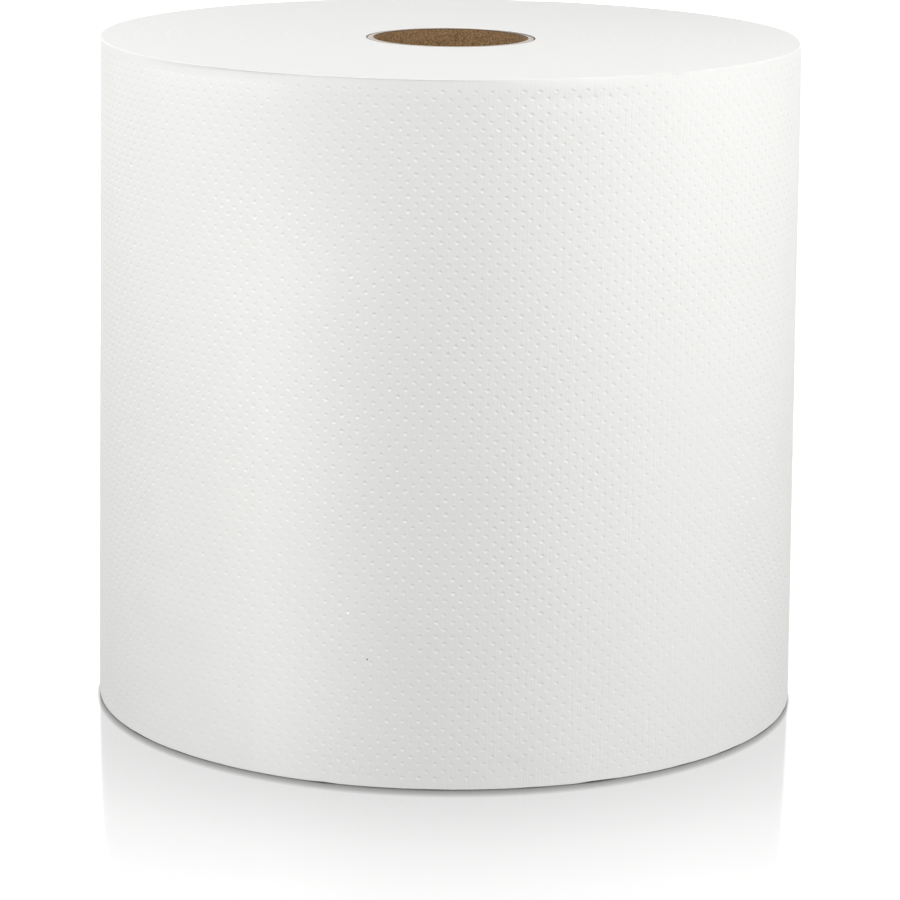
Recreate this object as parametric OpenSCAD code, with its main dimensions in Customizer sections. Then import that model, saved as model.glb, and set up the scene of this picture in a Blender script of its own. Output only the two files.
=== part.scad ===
// Hard-wound paper towel roll: one long embossed web wound on a cardboard core.
// The roll stands on its end face. The origin is the centre of that face, and +Z runs up the core.

/* [Roll] */
// Diameter over the outer turn, just before its free end
roll_d = 200; // [160:1:260]
// Width of the web, which is the height of the standing roll
web_w = 190.5; // [150:0.5:260]
// Radius that winding and handling press into both rims
rim_r = 1.2; // [0.4:0.1:3]

/* [Free end of the web] */
// Thickness of the embossed sheet where it isn't under tension
sheet_t = 0.4; // [0.2:0.05:0.8]
// Length of the loose tab past the line where the last turn is glued down
tab_len = 14; // [6:1:30]
// Direction in which the tab leaves the roll, measured round from +X
tab_turn = 118; // [0:1:359]

/* [Turn lines on the end faces] */
// Spacing of the turns that the end faces show, each standing for some sixty real ones
line_pitch = 9; // [8:0.5:14]
// Width of the line between two shown turns
line_w = 0.6; // [0.2:0.1:1]
// Depth of that line
line_deep = 0.3; // [0.1:0.1:0.6]
// Flat band left between the line and each edge of the end face, at the least
edge_band = 2.4; // [1:0.2:8]

/* [Core] */
// Bore of the cardboard core, which the dispenser's hub or spindle enters
core_bore_d = 43.4; // [30:0.1:76]
// Wall of the core, all its plies together
core_wall = 2.2; // [1:0.1:4]
// How far each cut end of the core lies inside the roll's end face
core_inset = 0.3; // [0:0.1:3]
// Bevel that the saw leaves on the core's inner edge
core_bevel = 0.4; // [0.1:0.1:0.8]
// Glue film between the core and the first turn
glue_film = 0.05; // [0.02:0.01:0.2]

/* [Hidden] */
$fn = 96;
rim_fn = 16;
roll_r = roll_d / 2;
core_bore_r = core_bore_d / 2;
core_r = core_bore_r + core_wall;
core_len = web_w - 2 * core_inset;
first_turn_r = core_r + glue_film;
first_line_r = first_turn_r + edge_band;
last_line_r = roll_r - rim_r - edge_band;
shown_turns = floor((last_line_r - first_line_r) / line_pitch);
// The block that carries the lines is this much wider than the roll, which is then cut from it
spare = 20;
// Cuts run this far past the face they open
past = 1;

// One half of a spiral that grows by pitch every turn. Halves struck from two centres in turn join
// into a smooth spiral of true arcs. Radii at the middle of half k are (k + 0.5) * pitch / 2 larger.
module spiral_half(k, pitch) {
    rotate(180 * k)
        translate([-pitch / 4, 0, 0])
            rotate_extrude(angle = 180)
                translate([(k + 0.5) * pitch / 2, 0])
                    children();
}

// Half section of the wound web without its last growth of radius, both rims rounded
module web_section() {
    r = roll_r - sheet_t;
    square([r - rim_r, web_w]);
    translate([0, rim_r]) square([r, web_w - 2 * rim_r]);
    for (z = [rim_r, web_w - rim_r])
        translate([r - rim_r, z]) circle(rim_r, $fn = rim_fn);
}

// The outer turn, whose radius drops by one sheet where the web ends
module outer_turn() {
    for (k = [0:1])
        spiral_half(k, sheet_t) web_section();
}

// Half section of a block whose two flat ends carry the lines between the turns
module lined_section() {
    difference() {
        square([roll_r + spare, web_w]);
        for (n = [0:shown_turns - 1], z = [0, web_w])
            translate([first_line_r + n * line_pitch, z])
                polygon([[-line_w / 2, 0], [0, line_deep], [line_w / 2, 0], [0, -line_deep]]);
    }
}

// That block, its lines wound from the core outwards
module lined_block() {
    for (k = [0:1])
        spiral_half(k, line_pitch) lined_section();
}

// The loose end of the outer turn: past the glue line the sheet runs straight on
module tail_tab() {
    translate([roll_r - sheet_t, 0, rim_r]) cube([sheet_t, tab_len, web_w - 2 * rim_r]);
}

module towel() {
    color("#f1f1ee")
        rotate(tab_turn)
            difference() {
                union() {
                    intersection() {
                        outer_turn();
                        lined_block();
                    }
                    tail_tab();
                }
                translate([0, 0, -past]) cylinder(r = first_turn_r, h = web_w + 2 * past);
            }
}

module core() {
    color("#8a6f52")
        translate([0, 0, core_inset])
            rotate_extrude()
                polygon([
                    [core_bore_r, core_bevel], [core_bore_r + core_bevel, 0], [core_r, 0],
                    [core_r, core_len], [core_bore_r + core_bevel, core_len], [core_bore_r, core_len - core_bevel]
                ]);
}

core();
towel();
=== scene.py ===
"""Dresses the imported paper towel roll: embossed web with its loose tail, kraft core, white studio floor."""

import math
import random

import bmesh
import bpy
from mathutils import Matrix, Vector, noise


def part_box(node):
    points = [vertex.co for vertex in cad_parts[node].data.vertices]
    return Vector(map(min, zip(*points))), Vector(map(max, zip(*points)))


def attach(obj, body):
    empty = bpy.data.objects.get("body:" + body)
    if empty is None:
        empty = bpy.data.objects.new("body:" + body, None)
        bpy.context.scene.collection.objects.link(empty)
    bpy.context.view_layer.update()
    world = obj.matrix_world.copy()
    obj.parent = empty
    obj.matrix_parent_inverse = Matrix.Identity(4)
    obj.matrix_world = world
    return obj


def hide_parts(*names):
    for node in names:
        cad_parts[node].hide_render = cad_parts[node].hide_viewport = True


MM = 0.001
HAIR = 0.01 * MM
FULL_TURN = 2 * math.pi

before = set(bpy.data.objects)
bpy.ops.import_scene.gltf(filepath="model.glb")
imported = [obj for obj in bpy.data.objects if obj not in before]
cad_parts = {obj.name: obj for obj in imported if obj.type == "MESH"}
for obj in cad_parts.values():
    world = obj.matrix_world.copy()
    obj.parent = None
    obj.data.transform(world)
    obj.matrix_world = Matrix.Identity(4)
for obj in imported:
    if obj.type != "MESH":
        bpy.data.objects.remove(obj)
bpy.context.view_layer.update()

# The roll and its core, from the frame
WEB_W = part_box("towel")[1].z
ROLL_R = round(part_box("towel")[1].y, 4)
CORE_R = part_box("core")[1].x
CORE_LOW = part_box("core")[0].z
CORE_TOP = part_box("core")[1].z
CORE_WALL = 2.2 * MM
GLUE_FILM = 0.05 * MM
FIRST_TURN_R = CORE_R + GLUE_FILM
SHEET = 0.4 * MM

# The free end of the web leaves the roll at the back: a narrow step, then the loose tail to its torn edge
TAIL_AT = math.radians(118)
TAIL_LEN = 14 * MM
TAIL_SHEET = 0.6 * SHEET
STEP_W = 0.1 * MM
TAIL_WAVE = 0.5 * MM
TAIL_WAVE_LONG = 30 * MM
TORN_DEEP = 0.25 * MM
TORN_LONG = 2 * MM

# Rims: chamfer of the crisp corner, rings below it, and the plain band before the first dents
RIM_CHAMFER = 0.15 * MM
RIM_RINGS = (0.8 * MM, 0.6 * MM, 0.35 * MM, RIM_CHAMFER)
RIM_BAND = 1.2 * MM

# The upper end face dips a little towards the core. Its rings lie at these shares of the way from the rim
# to the hole, and the first turn goes on straight down from the edge of the hole
DISH = 0.45 * MM
FACE_RINGS = (0.015, 0.03, 0.06, 0.12, 0.22, 0.34, 0.46, 0.58, 0.7, 0.82, 0.92, 0.975)
FIRST_TURN_DEEP = 1.5 * MM

# The roll was wound a little looser at the foot: its radius grows towards the floor by this share
FLARE = 0.0099

# Wear of the wall, with depths and heights in mm and sides in degrees. Places are a middle and its half
# width, and stretches of the rim a start, a stop and the fade outside them
SWELL_DEEP = 0.12
SWELL_OFTEN = 3.1
SWELL_LONG = 45 * MM
WORN_BAND = 12
LEANS = ((20, 13, 0.45), (89, 8, 0.5))
LEAN_DOWN = 3.6
TUCK_DEEP = 0.35
TUCK_SIDES = (-52, -29, 5)
TUCK_STARTS = 1.5
TUCK_DOWN = 6
SLOT_DEEP = 0.17
SLOT_SIDES = (-38, 2, 6)
SLOT_SPOT = (37, 3.5)
SLOT_STARTS = 0.2
SLOT_DOWN = 3
CREASE_DEEP = 0.3
CREASE_SIDE = (19, 9)
CREASE_BELOW = (5.2, 1.5)
RUMPLE_DEEP = 0.22
RUMPLE_SPAN = (5, 11)
RUMPLES = ((1, (-53, 13), (45, 45)), (2, (12, 6), (5, 6)))
RUMPLE_LEAST = 0.02

# Slitting of the lower rim: depth, and the degrees that its long and short unevenness take
SLIT_DEEP = 0.3 * MM
SLIT_LONG = 7
SLIT_SHORT = 2.2
SLIT_SHORT_SHARE = 0.7

# Embossing: small dents in staggered rows
DENT_COLUMNS = 145
DENT_ROWS = 48
COLUMN_PITCH = FULL_TURN * ROLL_R / DENT_COLUMNS
COLUMN_TURN = FULL_TURN / DENT_COLUMNS
ROW_PITCH = (WEB_W - 2 * RIM_BAND) / DENT_ROWS
DENT_MARGIN = 0.92 * MM
DENT_WIDE = 1.15
DENT_TALL = 0.85
DENT_UP = 0.08 * MM
DENT_DEEP = 0.30 * MM
DENT_STRAY = 0.12 * MM
DENT_SPREAD = (0.85, 1.15)
DENT_SEED = 41

# How firmly the dents are pressed: round which sides more or less, and what they lose near some heights.
# Places are a middle and its half width, in degrees or metres
FIRM = 1.25
FIRM_SIDES = ((-42, 20, -0.58), (42, 18, -0.6), (-2, 16, 0.34))
FAINT_HEIGHTS = ((15 * MM, 50 * MM, 0.3), (WEB_W, 35 * MM, 0.25))
FAINT_LEFT_FOOT = (0.25, (-34, 22), (20 * MM, 55 * MM))
FAINT_RIGHT_FOOT = (0.3, (15, 22), (15 * MM, 40 * MM))
PATCH_LONG = 38 * MM

# A dent's depth: the even share of it, the share that comes and goes in patches, and the share by chance
EVEN_SHARE = 0.95
PATCH_SHARE = 0.35
CHANCE_SHARE = 0.3

# A face counts as sloped or flat by the upright share of its normal, and takes another material
SLOPED = 0.5
FLAT = 0.9

# Core: its helical ply gap goes round a whole number of times, so both ends line up
CORE_COLUMNS = 96
CORE_ROWS = 48
PLY_TURNS = 2
PLY_GAP_W = 0.7 * MM
PLY_GAP_DEEP = 0.3 * MM
SAWN_BEVEL = 0.3 * MM
CORE_SUNK = 0.2 * MM
FRAYED_W = 0.25 * MM
FRAYED_DEEP = 1.5 * MM

# The web stands off the core's end: side and half width in degrees, gap in mm
LOOSE_GAPS = ((112, 34, 0.25), (-112, 30, 0.12))

# Camera, fitted to the outline of the roll in the photograph
PHOTO_PX = 900
FOCAL_PX = 3716
SENSOR_MM = 36.0
CAMERA_BACK = 1050 * MM
CAMERA_RIGHT = 1.1 * MM
CAMERA_UP = 311.38 * MM
CAMERA_DOWN = 0.2257
CAMERA_ROLL = 0.0113
CAMERA_SEES = 100

# Floor: how white the varnished table looks, in pairs of reach beyond the roll's foot and glow. The glow is
# painted white that only the camera sees. Held back close to the foot, it leaves a painted contact shadow,
# and as it grows outwards it paints over the shade and reflection of the foot. Close by, the reach is divided
# by how far a place lies in front, from 1 there down to the side share
FLOOR_HALF = 8.0
FLOOR_WHITE = 0.08
FLOOR_ROUGH = 0.1
FOOT_R = (ROLL_R - SHEET) * (1 + FLARE)
PAINTED_CONTACT_SHADOW_GLOW = ((0.0004, 0.0), (0.0026, 0.06), (0.0069, 0.62))
PAINTED_OPEN_GLOW = ((0.0069, 0.0), (0.034, 0.09), (0.05, 0.15), (0.08, 0.23), (0.162, 0.36))
SIDE_SHARE = 0.03

# Softboxes: direction round the roll and above the floor in degrees, distance, size and power
ROOM_LIGHT = 1.75
SOFTBOXES = {
    "front_box": (0, 35, 1.6, 0.7, 17.1),
    "left_box": (-85, 5, 1.6, 0.7, 8.7),
    "right_box": (85, 5, 1.6, 0.7, 5.8),
    "right_rear_box": (150, 5, 1.6, 0.7, 6.0),
    "left_rear_box": (-150, 5, 1.6, 0.7, 7.0),
    "near_top_box": (0, 88, 0.6, 0.3, 0.59),
    "near_rear_box": (-150, 55, 0.6, 0.3, 0.45),
    "left_shoulder_box": (-80, 30, 0.42, 0.2, 0.34),
    "right_shoulder_box": (65, 45, 0.42, 0.2, 0.195),
    "right_side_box": (80, 15, 0.42, 0.2, 0.37),
}

# Strip softbox with a grid: direction, distance and drop from the roll's middle, size, spread and power
STRIP_SIDE = -26
STRIP_AWAY = 0.7
STRIP_DROP = 0.04
STRIP_W = 0.03
STRIP_H = 0.2
STRIP_SPREAD = 5
STRIP_POWER = 0.0012

# A stray fleck in the paper, low in front
FLECK_AT = (-20.3 * MM, -98.1 * MM, 35.4 * MM)
FLECK_R = 0.3 * MM

# Colours: two shades that each material wavers between
PAPER_SHADES = ((0.885, 0.892, 0.865, 1), (0.915, 0.915, 0.898, 1))
EDGE_SHADES = ((0.87, 0.875, 0.855, 1), (0.93, 0.93, 0.913, 1))
KRAFT_SHADES = ((0.115, 0.065, 0.027, 1), (0.385, 0.238, 0.116, 1))
SAWN_SHADES = ((0.46, 0.42, 0.375, 1), (0.62, 0.58, 0.53, 1))
# Painted shade: dark brown on the core's sloped inner bevels, a painted shadow line along the edge of the
# bore
BEVEL_SHADOW_SHADES = ((0.06, 0.036, 0.018, 1), (0.16, 0.1, 0.055, 1))
# Painted shade: grey-brown on the first turn's face inside the bore, a painted shadow of the gap between web
# and core
GAP_SHADOW_SHADES = ((0.2, 0.19, 0.18, 1), (0.36, 0.34, 0.32, 1))
FLECK_SHADE = (0.3, 0.28, 0.26, 1)


def side_of(angle):
    """Direction round the roll as the camera has it: 0 at the front, growing to the camera's right."""
    return (angle + 1.5 * math.pi) % FULL_TURN - math.pi


def hump(value, middle, half_width):
    """1 at the middle, falling smoothly to about a third at half_width."""
    return math.exp(-(((value - middle) / half_width) ** 2))


def stretch(value, start, stop, fade):
    """1 between start and stop, fading to 0 over the given distance outside them."""
    outside = max(start - value, value - stop, 0)
    return max(0, 1 - outside / fade)


def outer_radius(angle):
    """The outer turn is one sheet thicker once it comes round to its own free end."""
    wound = ((angle - TAIL_AT - STEP_W / ROLL_R / 2) / FULL_TURN) % 1.0
    return ROLL_R - SHEET * (1 - wound)


def flare(height):
    """How much wider than its middle the roll is at a height."""
    return 1 + FLARE * (1 - 2 * height / WEB_W)


def handled(angle, height):
    """How far wear and winding press the wall inwards: hollows, soft rims and creases."""
    side = math.degrees(side_of(angle))
    below = (WEB_W - height) / MM
    above = height / MM
    around = Vector((math.cos(angle), math.sin(angle), 0)) * SWELL_OFTEN
    pressed = SWELL_DEEP * noise.noise(around + Vector((0, 0, height / SWELL_LONG)))
    if below < WORN_BAND:
        lean = sum(deep * hump(side, *place) for *place, deep in LEANS)
        pressed += lean * max(0, 1 - below / LEAN_DOWN) ** 2
        clear = below - RIM_CHAMFER / MM
        tucked = max(0, min(clear / TUCK_STARTS, 1 - below / TUCK_DOWN))
        pressed += TUCK_DEEP * stretch(side, *TUCK_SIDES) * tucked
        slotted = stretch(side, *SLOT_SIDES) + hump(side, *SLOT_SPOT)
        pressed += SLOT_DEEP * slotted * max(0, min(clear / SLOT_STARTS, 1 - below / SLOT_DOWN))
        pressed += CREASE_DEEP * hump(side, *CREASE_SIDE) * hump(below, *CREASE_BELOW)
    rumple = sum(much * hump(side, *where) * hump(above, *level) for much, where, level in RUMPLES)
    if rumple > RUMPLE_LEAST:
        across, up = RUMPLE_SPAN
        pressed += RUMPLE_DEEP * rumple * noise.noise(Vector((side / across, above / up, 3)))
    return pressed * MM


def put(vert, radius, height):
    """Moves a vertex to a radius and height, keeping its direction from the axis."""
    scale = radius / math.hypot(vert.co.x, vert.co.y)
    vert.co.x *= scale
    vert.co.y *= scale
    vert.co.z = height


def grow_ring(bm, edges, radius, height):
    """Extrudes a ring of edges to a new radius and height and returns the new ring."""
    grown = bmesh.ops.extrude_edge_only(bm, edges=edges)["geom"]
    verts = {g for g in grown if isinstance(g, bmesh.types.BMVert)}
    for vert in verts:
        put(vert, radius(math.atan2(vert.co.y, vert.co.x)), height)
    return [g for g in grown if isinstance(g, bmesh.types.BMEdge) and set(g.verts) <= verts]


def wall_spot(point):
    """Row and column of a dent on the wall, in half pitches."""
    turn = math.atan2(point.y, point.x) - TAIL_AT + COLUMN_TURN / 4
    return round(2 * (point.z - RIM_BAND) / ROW_PITCH), round(2 * turn / COLUMN_TURN)


def strip_spot(point):
    """Row and column of a dent on the loose tail while it still lies flat, in half pitches."""
    run = point.x + COLUMN_PITCH / 4
    return round(2 * (point.y - RIM_BAND) / ROW_PITCH), round(2 * run / COLUMN_PITCH)


def emboss(bm, cells, upright, outward, spot, draw):
    """Turns a sheet of oblong cells into staggered diamonds and sinks a dent into each, row by row."""
    seams = [edge for edge in bm.edges if len(edge.link_faces) == 2]
    bmesh.ops.poke(bm, faces=cells)
    bmesh.ops.dissolve_edges(bm, edges=seams, use_verts=False)
    diamonds = [face for face in bm.faces if len(face.verts) == 4]
    diamonds.sort(key=lambda face: spot(face.calc_center_median()))
    bmesh.ops.inset_individual(bm, faces=diamonds, thickness=DENT_MARGIN, use_even_offset=True)
    for face in diamonds:
        stray_dent(face, upright, outward, draw)
    lips = {edge for face in diamonds for edge in face.edges}
    for lip in lips:
        lip.smooth = False
    pits = bmesh.ops.poke(bm, faces=diamonds)["verts"]
    for pit in sorted(pits, key=lambda pit: spot(pit.co)):
        pit.co += upright * DENT_UP - outward(pit.co) * dent_depth(pit.co, draw)


def stray_dent(face, upright, outward, draw):
    """Dents are wider than they are tall, and no two sit or spread quite alike."""
    middle = face.calc_center_median()
    across = outward(middle).cross(upright)
    stray = (upright * draw.uniform(-1, 1) + across * draw.uniform(-1, 1)) * DENT_STRAY
    wide = DENT_WIDE * draw.uniform(*DENT_SPREAD)
    tall = DENT_TALL * draw.uniform(*DENT_SPREAD)
    for vert in face.verts:
        offset = vert.co - middle
        rise = offset.dot(upright)
        vert.co = middle + stray + (offset - upright * rise) * wide + upright * rise * tall


def dent_depth(point, draw):
    """Dents are pressed unevenly: full in front, fainter round both shoulders and towards the foot."""
    side = math.degrees(side_of(math.atan2(point.y, point.x)))

    def near(spot):
        much, where, level = spot
        return much * hump(side, *where) * hump(point.z, *level)

    firm = FIRM + sum(much * hump(side, *where) for *where, much in FIRM_SIDES)
    firm *= 1 - sum(much * hump(point.z, *level) for *level, much in FAINT_HEIGHTS)
    firm -= near(FAINT_LEFT_FOOT)
    firm *= 1 - near(FAINT_RIGHT_FOOT)
    patch = noise.noise(point / PATCH_LONG)
    return DENT_DEEP * firm * (EVEN_SHARE + PATCH_SHARE * patch + CHANCE_SHARE * draw.uniform(-1, 1))


def away_from_axis(point):
    """Straight out from the roll's axis, level with the floor."""
    return Vector((point.x, point.y, 0)).normalized()


def wind_wall(bm, draw):
    """The outer turn, spun from one plumb line and embossed, with a cut where its free end leaves."""
    heights = [RIM_BAND + row * ROW_PITCH for row in range(DENT_ROWS + 1)]
    line = [bm.verts.new((ROLL_R, 0, height)) for height in heights]
    for low, high in zip(line, line[1:]):
        bm.edges.new((low, high))
    seam = Matrix.Rotation(TAIL_AT - COLUMN_TURN / 4, 3, "Z")
    bmesh.ops.rotate(bm, verts=line, cent=(0, 0, 0), matrix=seam)
    bmesh.ops.spin(
        bm,
        geom=bm.verts[:] + bm.edges[:],
        cent=(0, 0, 0),
        axis=(0, 0, 1),
        angle=FULL_TURN,
        steps=DENT_COLUMNS,
        use_merge=True,
    )
    bmesh.ops.recalc_face_normals(bm, faces=bm.faces[:])
    emboss(bm, bm.faces[:], Vector((0, 0, 1)), away_from_axis, wall_spot, draw)
    reach = 2 * COLUMN_PITCH
    for turn in (TAIL_AT, TAIL_AT + STEP_W / ROLL_R):
        leaving = Vector((math.cos(turn), math.sin(turn), 0)) * ROLL_R
        onward = Vector((-math.sin(turn), math.cos(turn), 0))
        near = [face for face in bm.faces if (face.calc_center_median() - leaving).xy.length < reach]
        cut_along(bm, near, leaving, onward)


def cut_along(bm, faces, point, normal, **ends):
    """Cuts some faces along a plane, with a crisp edge left there."""
    geom = list(dict.fromkeys(part for face in faces for part in (face, *face.edges, *face.verts)))
    cut = bmesh.ops.bisect_plane(bm, geom=geom, dist=1e-7, plane_co=point, plane_no=normal, **ends)
    for part in cut["geom_cut"]:
        if isinstance(part, bmesh.types.BMEdge):
            part.smooth = False


def cut_short(angle):
    """The lower rim was slit a little unevenly, so that it leaves the floor here and there."""
    side = math.degrees(side_of(angle))
    steps = noise.noise(Vector((side / SLIT_LONG, 11, 0)))
    steps += SLIT_SHORT_SHARE * noise.noise(Vector((side / SLIT_SHORT, 4, 9)))
    return SLIT_DEEP * max(0, steps)


def close_end(bm, ring, top):
    """Adds one rim and end face to the wall, down to the edge of the core's hole."""

    def level(depth):
        return WEB_W - depth if top else depth

    def wall_radius(height):
        return lambda angle: outer_radius(angle) * flare(height) - handled(angle, height)

    for depth in RIM_RINGS:
        ring = grow_ring(bm, ring, wall_radius(level(depth)), level(depth))
    crisp = list(ring)
    rim_radius = wall_radius(level(0))
    ring = grow_ring(bm, ring, lambda angle: rim_radius(angle) - RIM_CHAMFER, level(0))
    crisp += ring
    face_r = ROLL_R * flare(level(0)) - SHEET
    face_w = face_r - FIRST_TURN_R
    dish = DISH if top else 0
    for share in FACE_RINGS:
        ring = grow_ring(bm, ring, lambda angle: face_r - share * face_w, level(dish * share ** 2))
    ring = grow_ring(bm, ring, lambda angle: FIRST_TURN_R + RIM_CHAMFER, level(dish))
    crisp += ring
    ring = grow_ring(bm, ring, lambda angle: FIRST_TURN_R, level(dish + RIM_CHAMFER))
    crisp += ring
    for edge in crisp:
        edge.smooth = False
    if not top:
        for vert in {vert for edge in crisp for vert in edge.verts}:
            vert.co.z += cut_short(math.atan2(vert.co.y, vert.co.x))
    return grow_ring(bm, ring, lambda angle: FIRST_TURN_R, level(FIRST_TURN_DEEP))


def lay_tail(draw):
    """The loose end of the web: it runs straight on where the outer turn leaves off, to its torn edge."""
    columns = math.ceil(TAIL_LEN / COLUMN_PITCH) + 1
    width = columns * COLUMN_PITCH
    strip = bmesh.new()
    bmesh.ops.create_grid(strip, x_segments=columns, y_segments=DENT_ROWS, size=0.5)
    bmesh.ops.scale(strip, vec=(width, WEB_W - 2 * RIM_BAND, 1), verts=strip.verts)
    bmesh.ops.translate(strip, vec=(width / 2 - COLUMN_PITCH / 4, WEB_W / 2, 0), verts=strip.verts)
    emboss(strip, strip.faces[:], Vector((0, 1, 0)), lambda point: Vector((0, 0, 1)), strip_spot, draw)
    cut_along(strip, strip.faces, (0, 0, 0), (-1, 0, 0), clear_outer=True)
    cut_along(strip, strip.faces, (TAIL_LEN, 0, 0), (1, 0, 0), clear_outer=True)
    limit = WEB_W / 2 - RIM_BAND - HAIR
    for side in (-1, 1):
        border = [e for e in strip.edges if min(side * (vert.co.y - WEB_W / 2) for vert in e.verts) > limit]
        grown = bmesh.ops.extrude_edge_only(strip, edges=border)["geom"]
        hem = [part for part in grown if isinstance(part, bmesh.types.BMVert)]
        bmesh.ops.translate(strip, vec=(0, side * (RIM_BAND - RIM_CHAMFER), 0), verts=hem)
    bmesh.ops.recalc_face_normals(strip, faces=strip.faces[:])
    bmesh.ops.solidify(strip, geom=strip.faces[:], thickness=TAIL_SHEET)
    top = max(vert.co.z for vert in strip.verts)
    for vert in strip.verts:
        run, height, proud = vert.co
        share = run / TAIL_LEN
        wave = TAIL_WAVE * share ** 2 * noise.noise(Vector((5, 0, height / TAIL_WAVE_LONG)))
        torn = TORN_DEEP * share ** 8 * noise.noise(Vector((0, 7, height / TORN_LONG)))
        radius = (ROLL_R + proud - top) * flare(height) - handled(TAIL_AT, height) + wave
        onward = run + torn
        vert.co = (
            radius * math.cos(TAIL_AT) - onward * math.sin(TAIL_AT),
            radius * math.sin(TAIL_AT) + onward * math.cos(TAIL_AT),
            height,
        )
    bmesh.ops.recalc_face_normals(strip, faces=strip.faces[:])
    return strip


def finish_piece(name, bm, materials):
    """Makes a smooth-shaded object of a bmesh, at the origin and riding on the roll's one body."""
    mesh = bpy.data.meshes.new(name)
    for face in bm.faces:
        face.smooth = True
    bm.to_mesh(mesh)
    bm.free()
    for material in materials:
        mesh.materials.append(material)
    piece = bpy.data.objects.new(name, mesh)
    bpy.context.scene.collection.objects.link(piece)
    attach(piece, "root")
    return piece


def open_rings(bm):
    """The wall's open lower and upper rings of edges."""
    edges = [edge for edge in bm.edges if edge.is_boundary]
    low = [edge for edge in edges if edge.verts[0].co.z < WEB_W / 2]
    high = [edge for edge in edges if edge.verts[0].co.z > WEB_W / 2]
    return low, high


def wind_web(paper, turns, gap_shadow):
    """The towel: the embossed outer turn with both end faces, and the loose tail at the back."""
    draw = random.Random(DENT_SEED)
    bm = bmesh.new()
    wind_wall(bm, draw)
    low, high = open_rings(bm)
    for vert in bm.verts:
        radius = math.hypot(vert.co.x, vert.co.y)
        angle = math.atan2(vert.co.y, vert.co.x)
        wound = radius + outer_radius(angle) - ROLL_R
        put(vert, wound * flare(vert.co.z) - handled(angle, vert.co.z), vert.co.z)
    bore = close_end(bm, low, False) + close_end(bm, high, True)
    bmesh.ops.bridge_loops(bm, edges=bore)
    bmesh.ops.recalc_face_normals(bm, faces=bm.faces[:])
    for face in bm.faces:
        # Faces of the first turn inside the bore take the grey-brown of a painted shadow
        in_gap_shadow = face.calc_center_median().xy.length < FIRST_TURN_R + HAIR
        face.material_index = 2 if in_gap_shadow else int(abs(face.normal.z) > FLAT)
    web = finish_piece("wound_web", bm, [paper, turns, gap_shadow])
    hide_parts("towel")
    tail = finish_piece("web_tail", lay_tail(draw), [paper])
    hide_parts("towel")


def loose_gap(angle):
    """The web stands a little off the core's end at the right and the rear, less on the left."""
    side = math.degrees(side_of(angle))
    return sum(gap * hump(side, *place) for *place, gap in LOOSE_GAPS) * MM


def wind_core(board, cut_end, bevel_shadow):
    """The board tube, with the helical gap between the turns of its inner ply and two sawn ends."""
    bevel = SAWN_BEVEL
    bore_r = CORE_R - CORE_WALL
    bm = bmesh.new()
    top = CORE_TOP - CORE_SUNK
    span = top - CORE_LOW - 2 * bevel
    inner = [(bore_r, CORE_LOW + bevel + span * row / CORE_ROWS) for row in range(CORE_ROWS + 1)]
    frayed_r = CORE_R - FRAYED_W
    top_end = [(bore_r + bevel, top), (frayed_r, top), (CORE_R, top - FRAYED_DEEP)]
    low_end = [(CORE_R, CORE_LOW + FRAYED_DEEP), (frayed_r, CORE_LOW), (bore_r + bevel, CORE_LOW)]
    outline = [bm.verts.new((radius, 0, height)) for radius, height in inner + top_end + low_end]
    for start, stop in zip(outline, outline[1:] + outline[:1]):
        bm.edges.new((start, stop))
    bmesh.ops.spin(
        bm,
        geom=bm.verts[:] + bm.edges[:],
        cent=(0, 0, 0),
        axis=(0, 0, 1),
        angle=FULL_TURN,
        steps=CORE_COLUMNS,
        use_merge=True,
    )
    bmesh.ops.recalc_face_normals(bm, faces=bm.faces[:])
    gap = []
    for face in bm.faces:
        middle = face.calc_center_median()
        radius = math.hypot(middle.x, middle.y)
        turn = math.atan2(middle.y, middle.x)
        upright = abs(face.normal.z)
        # Flat sawn ends take the pale board, and the sloped inner bevels take the dark brown of a painted
        # shadow line
        face.material_index = int(upright > SLOPED) + int(SLOPED < upright < FLAT)
        if radius < bore_r + HAIR and 0 < turn < FULL_TURN / CORE_COLUMNS:
            gap.append(face)
    bmesh.ops.inset_region(bm, faces=gap, thickness=PLY_GAP_W / 2, use_even_offset=True)
    for vert in {vert for face in gap for vert in face.verts}:
        put(vert, bore_r + PLY_GAP_DEEP, vert.co.z)
    for vert in bm.verts:
        climbed = (vert.co.z - CORE_LOW) / (top - CORE_LOW)
        vert.co.rotate(Matrix.Rotation(FULL_TURN * PLY_TURNS * climbed, 3, "Z"))
        if vert.co.z > top - HAIR and vert.co.xy.length > bore_r + 2 * bevel:
            loose = loose_gap(math.atan2(vert.co.y, vert.co.x))
            put(vert, frayed_r - loose, vert.co.z - loose)
    core = finish_piece("board_core", bm, [board, cut_end, bevel_shadow])
    for edge in core.data.edges:
        low, high = (core.data.vertices[i].co for i in edge.vertices)
        at_end = abs(low.z - high.z) < HAIR and (low.z < CORE_LOW + bevel or low.z > top - bevel)
        edge.use_edge_sharp = at_end
    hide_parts("core")


def shader(name):
    """A new material with its Principled shader and a helper that adds linked nodes to it."""
    material = bpy.data.materials.new(name)
    material.use_nodes = True
    tree = material.node_tree
    surface = tree.nodes["Principled BSDF"]

    def add(kind, links=(), **values):
        node = tree.nodes.new(kind)
        for key, value in values.items():
            if hasattr(node, key):
                setattr(node, key, value)
        for socket, source in links:
            tree.links.new(source, node.inputs[socket])
        return node

    return material, tree, surface, add


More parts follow.
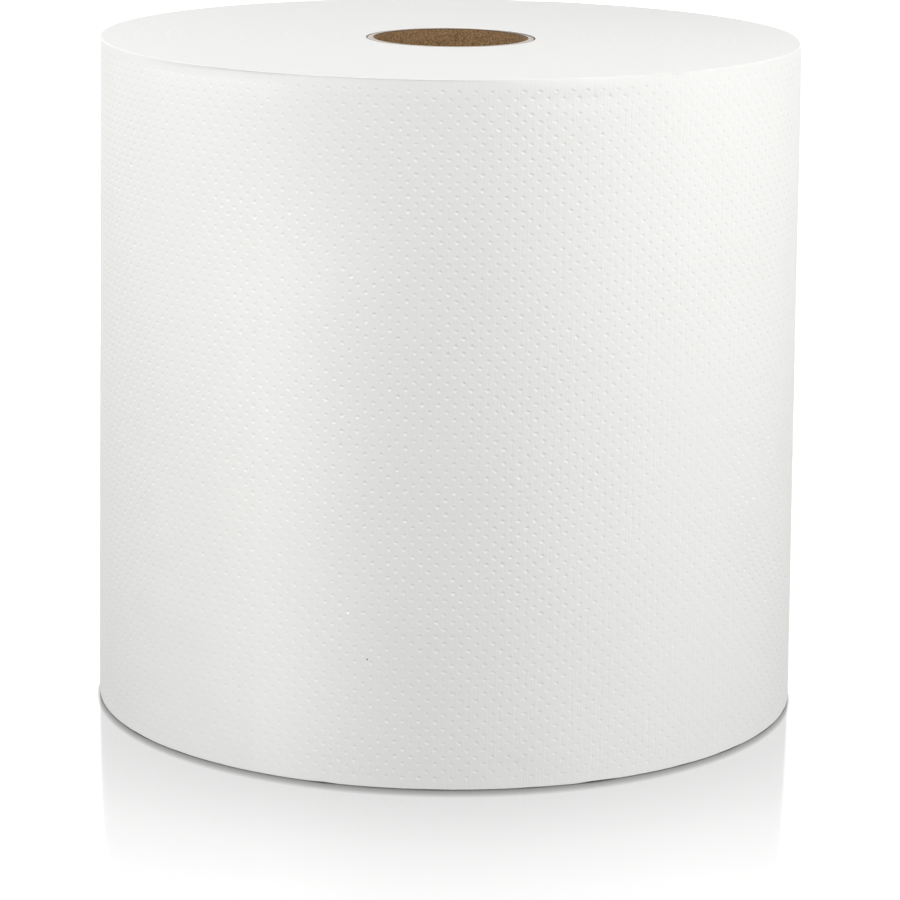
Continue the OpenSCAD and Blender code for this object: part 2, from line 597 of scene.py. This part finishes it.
def tissue_paper():
    """White embossed towel: fine upright crepe ribs, loose fibres and a faint cloudiness."""
    material, tree, surface, add = shader("embossed_towel_paper")
    surface.inputs["Roughness"].default_value = 0.92
    surface.inputs["Specular IOR Level"].default_value = 0.09
    place = add("ShaderNodeTexCoord")
    upright = add("ShaderNodeMapping", [("Vector", place.outputs["Object"])])
    upright.inputs["Scale"].default_value = (1, 1, 0.07)
    ribs = add("ShaderNodeTexNoise", [("Vector", upright.outputs["Vector"])])
    ribs.inputs["Scale"].default_value = 2000
    ribs.inputs["Detail"].default_value = 1
    fibres = add("ShaderNodeTexNoise", [("Vector", place.outputs["Object"])])
    fibres.inputs["Scale"].default_value = 900
    fibres.inputs["Detail"].default_value = 3
    clouds = add("ShaderNodeTexNoise", [("Vector", place.outputs["Object"])])
    clouds.inputs["Scale"].default_value = 28
    clouds.inputs["Detail"].default_value = 3
    tint = add("ShaderNodeMix", [("Factor", clouds.outputs["Fac"])], data_type="RGBA")
    tint.inputs["A"].default_value, tint.inputs["B"].default_value = PAPER_SHADES
    from_fleck = add("ShaderNodeVectorMath", [(0, place.outputs["Object"])], operation="DISTANCE")
    from_fleck.inputs[1].default_value = FLECK_AT
    fleck = add("ShaderNodeMath", [(0, from_fleck.outputs["Value"])], operation="LESS_THAN")
    fleck.inputs[1].default_value = FLECK_R
    marked = add("ShaderNodeMix", [("A", tint.outputs["Result"])], data_type="RGBA")
    tree.links.new(fleck.outputs["Value"], marked.inputs["Factor"])
    marked.inputs["B"].default_value = FLECK_SHADE
    tree.links.new(marked.outputs["Result"], surface.inputs["Base Color"])
    crepe = add("ShaderNodeBump", [("Height", ribs.outputs["Fac"])])
    crepe.inputs["Strength"].default_value = 0.6
    crepe.inputs["Distance"].default_value = 0.07 * MM
    fluff = add("ShaderNodeBump", [("Height", fibres.outputs["Fac"]), ("Normal", crepe.outputs["Normal"])])
    fluff.inputs["Strength"].default_value = 0.25
    fluff.inputs["Distance"].default_value = 0.1 * MM
    tree.links.new(fluff.outputs["Normal"], surface.inputs["Normal"])
    return material


def wound_edges():
    """The end faces: hundreds of cut sheet edges in turns so tight that they show as faint rings."""
    material, tree, surface, add = shader("edges_of_wound_towel")
    surface.inputs["Roughness"].default_value = 0.95
    surface.inputs["Specular IOR Level"].default_value = 0.08
    place = add("ShaderNodeTexCoord")
    apart = add("ShaderNodeSeparateXYZ", [("Vector", place.outputs["Object"])])
    flat = add("ShaderNodeCombineXYZ", [("X", apart.outputs["X"]), ("Y", apart.outputs["Y"])])
    away = add("ShaderNodeVectorMath", [(0, flat.outputs["Vector"])], operation="LENGTH")
    uneven = add("ShaderNodeTexNoise", [("Vector", place.outputs["Object"])])
    uneven.inputs["Scale"].default_value = 60
    uneven.inputs["Detail"].default_value = 2
    turns = add("ShaderNodeMath", [(0, away.outputs["Value"])], operation="MULTIPLY")
    turns.inputs[1].default_value = 1000
    wandering = [(0, turns.outputs["Value"]), (1, uneven.outputs["Fac"])]
    strayed = add("ShaderNodeMath", wandering, operation="ADD")
    rings = add("ShaderNodeTexNoise", [("W", strayed.outputs["Value"])], noise_dimensions="1D")
    rings.inputs["Scale"].default_value = 0.9
    rings.inputs["Detail"].default_value = 3
    fibres = add("ShaderNodeTexNoise", [("Vector", place.outputs["Object"])])
    fibres.inputs["Scale"].default_value = 1100
    fibres.inputs["Detail"].default_value = 3
    tint = add("ShaderNodeMix", [("Factor", rings.outputs["Fac"])], data_type="RGBA")
    tint.inputs["A"].default_value, tint.inputs["B"].default_value = EDGE_SHADES
    tree.links.new(tint.outputs["Result"], surface.inputs["Base Color"])
    edges = add("ShaderNodeBump", [("Height", rings.outputs["Fac"])])
    edges.inputs["Strength"].default_value = 0.5
    edges.inputs["Distance"].default_value = 0.08 * MM
    fluff = add("ShaderNodeBump", [("Height", fibres.outputs["Fac"]), ("Normal", edges.outputs["Normal"])])
    fluff.inputs["Strength"].default_value = 0.3
    fluff.inputs["Distance"].default_value = 0.1 * MM
    tree.links.new(fluff.outputs["Normal"], surface.inputs["Normal"])
    return material


def kraft_board(name, shades):
    """Mottled board: short fibres lying every way, in tints between two shades."""
    material, tree, surface, add = shader(name)
    surface.inputs["Roughness"].default_value = 0.8
    surface.inputs["Specular IOR Level"].default_value = 0.24
    place = add("ShaderNodeTexCoord")
    fibres = add("ShaderNodeTexNoise", [("Vector", place.outputs["Object"])])
    fibres.inputs["Scale"].default_value = 1900
    fibres.inputs["Detail"].default_value = 4
    spread = add("ShaderNodeMapRange", [("Value", fibres.outputs["Fac"])])
    spread.inputs["From Min"].default_value = 0.3
    spread.inputs["From Max"].default_value = 0.7
    tint = add("ShaderNodeMix", [("Factor", spread.outputs["Result"])], data_type="RGBA")
    tint.inputs["A"].default_value, tint.inputs["B"].default_value = shades
    tree.links.new(tint.outputs["Result"], surface.inputs["Base Color"])
    grain = add("ShaderNodeBump", [("Height", fibres.outputs["Fac"])])
    grain.inputs["Strength"].default_value = 0.4
    grain.inputs["Distance"].default_value = 0.15 * MM
    tree.links.new(grain.outputs["Normal"], surface.inputs["Normal"])
    return material


def glow_curve(add, reach, points):
    """A curve of the painted glow that the camera sees on the floor, at a reach in metres."""
    pool = add("ShaderNodeFloatCurve", [("Value", reach)])
    pool.mapping.extend = "HORIZONTAL"
    curve = pool.mapping.curves[0]
    for place in points[2:]:
        curve.points.new(*place)
    for spot, place in zip(curve.points, points):
        spot.location = place
        spot.handle_type = "VECTOR"
    pool.mapping.update()
    return pool.outputs["Value"]


def lay_floor():
    """A white table with a clear varnish that glows to the camera alone: painted white, with a painted
    contact shadow as a dark line where the roll stands, deepest in front.
    """
    bm = bmesh.new()
    bmesh.ops.create_grid(bm, x_segments=1, y_segments=1, size=FLOOR_HALF)
    mesh = bpy.data.meshes.new("studio_floor")
    bm.to_mesh(mesh)
    bm.free()
    material, tree, surface, add = shader("table_with_painted_glow")
    surface.inputs["Base Color"].default_value = (FLOOR_WHITE, FLOOR_WHITE, FLOOR_WHITE, 1)
    surface.inputs["Roughness"].default_value = FLOOR_ROUGH
    surface.inputs["Specular IOR Level"].default_value = 1.0
    surface.inputs["Emission Color"].default_value = (1, 1, 1, 1)
    place = add("ShaderNodeTexCoord")
    apart = add("ShaderNodeSeparateXYZ", [("Vector", place.outputs["Object"])])
    away = add("ShaderNodeVectorMath", [(0, place.outputs["Object"])], operation="LENGTH")
    beyond = add("ShaderNodeMath", [(0, away.outputs["Value"])], operation="SUBTRACT")
    beyond.inputs[1].default_value = FOOT_R
    ahead = add("ShaderNodeMath", [(0, apart.outputs["Y"]), (1, away.outputs["Value"])], operation="DIVIDE")
    in_front = add("ShaderNodeMath", [(0, ahead.outputs["Value"])], operation="MINIMUM")
    in_front.inputs[1].default_value = 0
    turned = add("ShaderNodeMath", [(0, in_front.outputs["Value"])], operation="ABSOLUTE")
    width = add("ShaderNodeMath", [(0, turned.outputs["Value"])], operation="MAXIMUM")
    width.inputs[1].default_value = SIDE_SHARE
    spread = [(0, beyond.outputs["Value"]), (1, width.outputs["Value"])]
    reach = add("ShaderNodeMath", spread, operation="DIVIDE")
    close = glow_curve(add, reach.outputs["Value"], PAINTED_CONTACT_SHADOW_GLOW)
    farther = glow_curve(add, beyond.outputs["Value"], PAINTED_OPEN_GLOW)
    both = add("ShaderNodeMath", [(0, close), (1, farther)], operation="ADD")
    # Only camera rays see the glow, so the painted white and the painted contact shadow throw no light on the
    # roll
    seen = add("ShaderNodeLightPath")
    shown = [(0, both.outputs["Value"]), (1, seen.outputs["Is Camera Ray"])]
    glow = add("ShaderNodeMath", shown, operation="MULTIPLY")
    tree.links.new(glow.outputs["Value"], surface.inputs["Emission Strength"])
    mesh.materials.append(material)
    floor = bpy.data.objects.new("studio_floor", mesh)
    bpy.context.scene.collection.objects.link(floor)


def hang_strip_box():
    """A tall, narrow softbox with a honeycomb grid, which leaves a soft upright band left of the middle."""
    strip = hang_softbox("strip_box", STRIP_SIDE, 0, STRIP_AWAY, STRIP_W, STRIP_POWER)
    strip.location.z -= STRIP_DROP
    strip.data.shape = "RECTANGLE"
    strip.data.size_y = STRIP_H
    strip.data.spread = math.radians(STRIP_SPREAD)


def hang_softbox(name, side, up, away, size, power):
    """A square softbox in a direction from the roll's middle: side as in side_of, up above the floor."""
    light = bpy.data.lights.new(name, "AREA")
    light.shape = "SQUARE"
    light.size = size
    light.energy = power
    lamp = bpy.data.objects.new(name, light)
    turn = math.radians(side)
    lift = math.radians(up)
    offset = Vector((math.sin(turn) * math.cos(lift), -math.cos(turn) * math.cos(lift), math.sin(lift)))
    middle = Vector((0, 0, WEB_W / 2))
    lamp.location = middle + offset * away
    lamp.rotation_euler = offset.to_track_quat("Z", "Y").to_euler()
    bpy.context.scene.collection.objects.link(lamp)
    return lamp


def light_room():
    """A white room that shows in glossy things and in the view, and softboxes that light the roll."""
    world = bpy.data.worlds.new("white_room")
    world.use_nodes = True
    room = world.node_tree.nodes["Background"]
    room.inputs["Color"].default_value = (1, 1, 1, 1)
    room.inputs["Strength"].default_value = ROOM_LIGHT
    bpy.context.scene.world = world
    world.cycles_visibility.diffuse = False
    for name, settings in SOFTBOXES.items():
        hang_softbox(name, *settings)
    hang_strip_box()


def aim_camera():
    """The photograph's view of the roll."""
    lens = bpy.data.cameras.new("photo_camera")
    lens.sensor_width = SENSOR_MM
    lens.lens = FOCAL_PX * SENSOR_MM / PHOTO_PX
    lens.clip_end = CAMERA_SEES
    camera = bpy.data.objects.new("photo_camera", lens)
    tilt = Matrix.Rotation(math.pi / 2 - CAMERA_DOWN, 4, "X")
    roll = Matrix.Rotation(CAMERA_ROLL, 4, "Z")
    camera.matrix_world = Matrix.Translation((CAMERA_RIGHT, -CAMERA_BACK, CAMERA_UP)) @ tilt @ roll
    bpy.context.scene.collection.objects.link(camera)
    bpy.context.scene.camera = camera


def plain_tones():
    """White paper on white needs the tones as they are, with no film-like curve."""
    bpy.context.scene.view_settings.view_transform = "Standard"
    bpy.context.scene.view_settings.look = "None"


aim_camera()
plain_tones()
light_room()
lay_floor()
paper = tissue_paper()
turns = wound_edges()
board = kraft_board("kraft_board", KRAFT_SHADES)
cut_end = kraft_board("sawn_board_end", SAWN_SHADES)
bevel_shadow = kraft_board("inner_bevel_painted_shadow", BEVEL_SHADOW_SHADES)
gap_shadow = kraft_board("first_turn_painted_shadow", GAP_SHADOW_SHADES)
wind_web(paper, turns, gap_shadow)
wind_core(board, cut_end, bevel_shadow)
